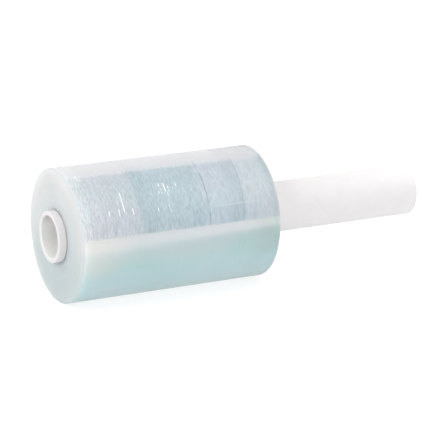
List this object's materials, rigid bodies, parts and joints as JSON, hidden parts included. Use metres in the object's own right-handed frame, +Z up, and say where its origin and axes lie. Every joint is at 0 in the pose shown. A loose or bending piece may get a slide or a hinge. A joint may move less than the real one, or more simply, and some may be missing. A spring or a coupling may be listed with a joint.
{
  "type": "stretch wrap roll",
  "caption": "Narrow hand roll of clear stretch film wound on a white paper core whose long free end is the handle, lying on its side.",
  "frame": {"origin": "on the resting flat at the bottom of the film, under the middle of the film's width; the roll's axis is 40 mm above it", "axes": "+X along the roll's axis from the short stub towards the handle's free end, +Z up from the surface that the roll lies on"},
  "size_m": [0.2443, 0.0808, 0.0805],
  "materials": {
    "stretch_film": "gloss",
    "core_board": "matte"
  },
  "bodies": {
    "root": {"film_roll": "stretch_film", "core_tube": "core_board"}
  },
  "joints": []
}
